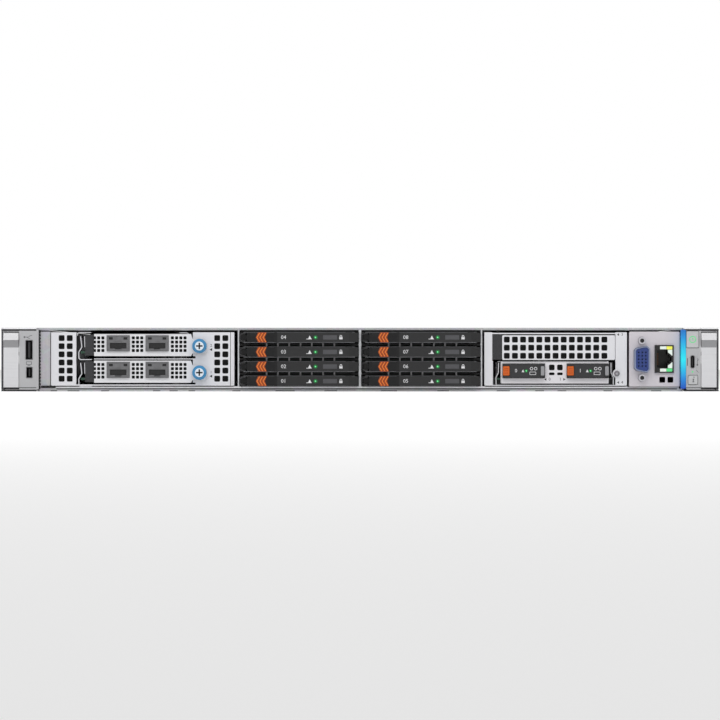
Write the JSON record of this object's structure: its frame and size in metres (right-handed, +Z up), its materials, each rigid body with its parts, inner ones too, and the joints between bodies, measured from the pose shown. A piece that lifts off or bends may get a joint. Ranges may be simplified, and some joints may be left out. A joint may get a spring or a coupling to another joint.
{
  "type": "rack server",
  "caption": "One-unit rack server with front cards, slim front drives, service ports, ears with latches, lift-off cover, fans and rear power supplies.",
  "frame": {"origin": "centre of the base, at the plane where the ears meet the rack", "axes": "+X to the right seen from the front, +Y towards the back, +Z up"},
  "size_m": [0.482, 0.7941, 0.0428],
  "materials": {
    "zinc_steel": "satin galvanised sheet",
    "cover_steel": "satin galvanised sheet",
    "panel_paint": "satin light grey",
    "service_paint": "satin light grey, slightly warm",
    "ear_plastic": "satin grey",
    "latch_metal": "satin silver",
    "light_bar": "lit translucent plastic",
    "button_plastic": "satin grey",
    "port_metal": "nickel plated",
    "cage_metal": "bright steel",
    "carrier_plastic": "dark anodised case with black plastic face",
    "lever_plastic": "black with orange chevrons",
    "orange_plastic": "orange release colour",
    "blue_plastic": "blue touch colour",
    "video_blue": "blue insert in a nickel shell",
    "jack_plastic": "black",
    "board_green": "green solder mask",
    "fan_plastic": "black",
    "sink_metal": "plain",
    "supply_case": "plain sheet"
  },
  "bodies": {
    "chassis": {"boot_module_frame": "panel_paint", "card_boards": "board_green", "card_brackets": "panel_paint", "card_port_cages": "port_metal", "chassis_tray": "zinc_steel", "drive_backplane": "board_green", "drive_cage": "cage_metal", "ethernet_jack": "jack_plastic", "fan_housings": "fan_plastic", "front_ports": "port_metal", "front_top_plate": "cover_steel", "heatsinks": "sink_metal", "io_panel": "service_paint", "left_ear": "ear_plastic", "left_riser_frame": "panel_paint", "light_bar": "light_bar", "mainboard": "board_green", "memory_modules": "board_green", "right_ear": "ear_plastic", "right_riser_frame": "panel_paint", "vent_blank": "panel_paint", "video_port": "video_blue"},
    "cover": {"top_cover": "cover_steel"},
    "cover_latch": {"cover_latch": "blue_plastic"},
    "left_ear_latch": {"left_ear_latch": "latch_metal"},
    "right_ear_latch": {"right_ear_latch": "latch_metal"},
    "power_button": {"power_button": "button_plastic"},
    "id_button": {"id_button": "button_plastic"},
    "thumbscrew_lower": {"thumbscrew_lower": "blue_plastic"},
    "thumbscrew_upper": {"thumbscrew_upper": "blue_plastic"},
    "drive_1": {"drive_1": "carrier_plastic"},
    "drive_1_latch": {"drive_1_latch": "lever_plastic"},
    "drive_2": {"drive_2": "carrier_plastic"},
    "drive_2_latch": {"drive_2_latch": "lever_plastic"},
    "drive_3": {"drive_3": "carrier_plastic"},
    "drive_3_latch": {"drive_3_latch": "lever_plastic"},
    "drive_4": {"drive_4": "carrier_plastic"},
    "drive_4_latch": {"drive_4_latch": "lever_plastic"},
    "drive_5": {"drive_5": "carrier_plastic"},
    "drive_5_latch": {"drive_5_latch": "lever_plastic"},
    "drive_6": {"drive_6": "carrier_plastic"},
    "drive_6_latch": {"drive_6_latch": "lever_plastic"},
    "drive_7": {"drive_7": "carrier_plastic"},
    "drive_7_latch": {"drive_7_latch": "lever_plastic"},
    "drive_8": {"drive_8": "carrier_plastic"},
    "drive_8_latch": {"drive_8_latch": "lever_plastic"},
    "boot_drive_left": {"boot_drive_left": "carrier_plastic"},
    "boot_release_left": {"boot_release_left": "orange_plastic"},
    "boot_drive_right": {"boot_drive_right": "carrier_plastic"},
    "boot_release_right": {"boot_release_right": "orange_plastic"},
    "fan_rotor_1": {"fan_rotor_1": "fan_plastic"},
    "fan_rotor_2": {"fan_rotor_2": "fan_plastic"},
    "fan_rotor_3": {"fan_rotor_3": "fan_plastic"},
    "fan_rotor_4": {"fan_rotor_4": "fan_plastic"},
    "fan_rotor_5": {"fan_rotor_5": "fan_plastic"},
    "fan_rotor_6": {"fan_rotor_6": "fan_plastic"},
    "psu_left": {"psu_left": "supply_case"},
    "psu_latch_left": {"psu_latch_left": "orange_plastic"},
    "psu_right": {"psu_right": "supply_case"},
    "psu_latch_right": {"psu_latch_right": "orange_plastic"}
  },
  "joints": [
    {"name": "cover_lift", "type": "slide", "parent": "chassis", "child": "cover", "axis": [0, 0, 1], "range_m": [0, 0.12]},
    {"name": "cover_latch_hinge", "type": "hinge", "parent": "cover", "child": "cover_latch", "pos_m": [0, 0.6725, 0.0407], "axis": [-1, 0, 0], "range_deg": [0, 75]},
    {"name": "left_ear_latch_hinge", "type": "hinge", "parent": "chassis", "child": "left_ear_latch", "pos_m": [-0.2344, -0.01, 0.0365], "axis": [-1, 0, 0], "range_deg": [0, 35], "stiffness_Nm_per_rad": 0.03, "springref_deg": -17.19},
    {"name": "right_ear_latch_hinge", "type": "hinge", "parent": "chassis", "child": "right_ear_latch", "pos_m": [0.2344, -0.01, 0.0365], "axis": [-1, 0, 0], "range_deg": [0, 35], "stiffness_Nm_per_rad": 0.03, "springref_deg": -17.19},
    {"name": "power_button_press", "type": "slide", "parent": "chassis", "child": "power_button", "axis": [0, 1, 0], "range_m": [0, 0.0012], "stiffness_N_per_m": 400},
    {"name": "id_button_press", "type": "slide", "parent": "chassis", "child": "id_button", "axis": [0, 1, 0], "range_m": [0, 0.0012], "stiffness_N_per_m": 400},
    {"name": "thumbscrew_lower_turn", "type": "hinge", "parent": "chassis", "child": "thumbscrew_lower", "pos_m": [-0.1079, -0.016, 0.0126], "axis": [0, -1, 0], "continuous": true},
    {"name": "thumbscrew_upper_turn", "type": "hinge", "parent": "chassis", "child": "thumbscrew_upper", "pos_m": [-0.1079, -0.016, 0.0305], "axis": [0, -1, 0], "continuous": true},
    {"name": "drive_1_slide", "type": "slide", "parent": "chassis", "child": "drive_1", "axis": [0, -1, 0], "range_m": [0, 0.13]},
    {"name": "drive_1_latch_hinge", "type": "hinge", "parent": "drive_1", "child": "drive_1_latch", "pos_m": [-0.0784, -0.0164, 0.0069], "axis": [0, 0, -1], "range_deg": [0, 60]},
    {"name": "drive_2_slide", "type": "slide", "parent": "chassis", "child": "drive_2", "axis": [0, -1, 0], "range_m": [0, 0.13]},
    {"name": "drive_2_latch_hinge", "type": "hinge", "parent": "drive_2", "child": "drive_2_latch", "pos_m": [-0.0784, -0.0164, 0.0167], "axis": [0, 0, -1], "range_deg": [0, 60]},
    {"name": "drive_3_slide", "type": "slide", "parent": "chassis", "child": "drive_3", "axis": [0, -1, 0], "range_m": [0, 0.13]},
    {"name": "drive_3_latch_hinge", "type": "hinge", "parent": "drive_3", "child": "drive_3_latch", "pos_m": [-0.0784, -0.0164, 0.0265], "axis": [0, 0, -1], "range_deg": [0, 60]},
    {"name": "drive_4_slide", "type": "slide", "parent": "chassis", "child": "drive_4", "axis": [0, -1, 0], "range_m": [0, 0.13]},
    {"name": "drive_4_latch_hinge", "type": "hinge", "parent": "drive_4", "child": "drive_4_latch", "pos_m": [-0.0784, -0.0164, 0.0363], "axis": [0, 0, -1], "range_deg": [0, 60]},
    {"name": "drive_5_slide", "type": "slide", "parent": "chassis", "child": "drive_5", "axis": [0, -1, 0], "range_m": [0, 0.13]},
    {"name": "drive_5_latch_hinge", "type": "hinge", "parent": "drive_5", "child": "drive_5_latch", "pos_m": [0.0037, -0.0164, 0.0069], "axis": [0, 0, -1], "range_deg": [0, 60]},
    {"name": "drive_6_slide", "type": "slide", "parent": "chassis", "child": "drive_6", "axis": [0, -1, 0], "range_m": [0, 0.13]},
    {"name": "drive_6_latch_hinge", "type": "hinge", "parent": "drive_6", "child": "drive_6_latch", "pos_m": [0.0037, -0.0164, 0.0167], "axis": [0, 0, -1], "range_deg": [0, 60]},
    {"name": "drive_7_slide", "type": "slide", "parent": "chassis", "child": "drive_7", "axis": [0, -1, 0], "range_m": [0, 0.13]},
    {"name": "drive_7_latch_hinge", "type": "hinge", "parent": "drive_7", "child": "drive_7_latch", "pos_m": [0.0037, -0.0164, 0.0265], "axis": [0, 0, -1], "range_deg": [0, 60]},
    {"name": "drive_8_slide", "type": "slide", "parent": "chassis", "child": "drive_8", "axis": [0, -1, 0], "range_m": [0, 0.13]},
    {"name": "drive_8_latch_hinge", "type": "hinge", "parent": "drive_8", "child": "drive_8_latch", "pos_m": [0.0037, -0.0164, 0.0363], "axis": [0, 0, -1], "range_deg": [0, 60]},
    {"name": "boot_drive_left_slide", "type": "slide", "parent": "chassis", "child": "boot_drive_left", "axis": [0, -1, 0], "range_m": [0, 0.09]},
    {"name": "boot_release_left_press", "type": "slide", "parent": "boot_drive_left", "child": "boot_release_left", "axis": [0, 1, 0], "range_m": [0, 0.0012], "stiffness_N_per_m": 300},
    {"name": "boot_drive_right_slide", "type": "slide", "parent": "chassis", "child": "boot_drive_right", "axis": [0, -1, 0], "range_m": [0, 0.09]},
    {"name": "boot_release_right_press", "type": "slide", "parent": "boot_drive_right", "child": "boot_release_right", "axis": [0, 1, 0], "range_m": [0, 0.0012], "stiffness_N_per_m": 300},
    {"name": "fan_rotor_1_spin", "type": "hinge", "parent": "chassis", "child": "fan_rotor_1", "pos_m": [-0.175, 0.18, 0.021], "axis": [0, 1, 0], "continuous": true},
    {"name": "fan_rotor_2_spin", "type": "hinge", "parent": "chassis", "child": "fan_rotor_2", "pos_m": [-0.105, 0.18, 0.021], "axis": [0, 1, 0], "continuous": true},
    {"name": "fan_rotor_3_spin", "type": "hinge", "parent": "chassis", "child": "fan_rotor_3", "pos_m": [-0.035, 0.18, 0.021], "axis": [0, 1, 0], "continuous": true},
    {"name": "fan_rotor_4_spin", "type": "hinge", "parent": "chassis", "child": "fan_rotor_4", "pos_m": [0.035, 0.18, 0.021], "axis": [0, 1, 0], "continuous": true},
    {"name": "fan_rotor_5_spin", "type": "hinge", "parent": "chassis", "child": "fan_rotor_5", "pos_m": [0.105, 0.18, 0.021], "axis": [0, 1, 0], "continuous": true},
    {"name": "fan_rotor_6_spin", "type": "hinge", "parent": "chassis", "child": "fan_rotor_6", "pos_m": [0.175, 0.18, 0.021], "axis": [0, 1, 0], "continuous": true},
    {"name": "psu_left_slide", "type": "slide", "parent": "chassis", "child": "psu_left", "axis": [0, 1, 0], "range_m": [0, 0.2]},
    {"name": "psu_latch_left_press", "type": "slide", "parent": "psu_left", "child": "psu_latch_left", "axis": [-1, 0, 0], "range_m": [0, 0.002], "stiffness_N_per_m": 500},
    {"name": "psu_right_slide", "type": "slide", "parent": "chassis", "child": "psu_right", "axis": [0, 1, 0], "range_m": [0, 0.2]},
    {"name": "psu_latch_right_press", "type": "slide", "parent": "psu_right", "child": "psu_latch_right", "axis": [1, 0, 0], "range_m": [0, 0.002], "stiffness_N_per_m": 500}
  ]
}
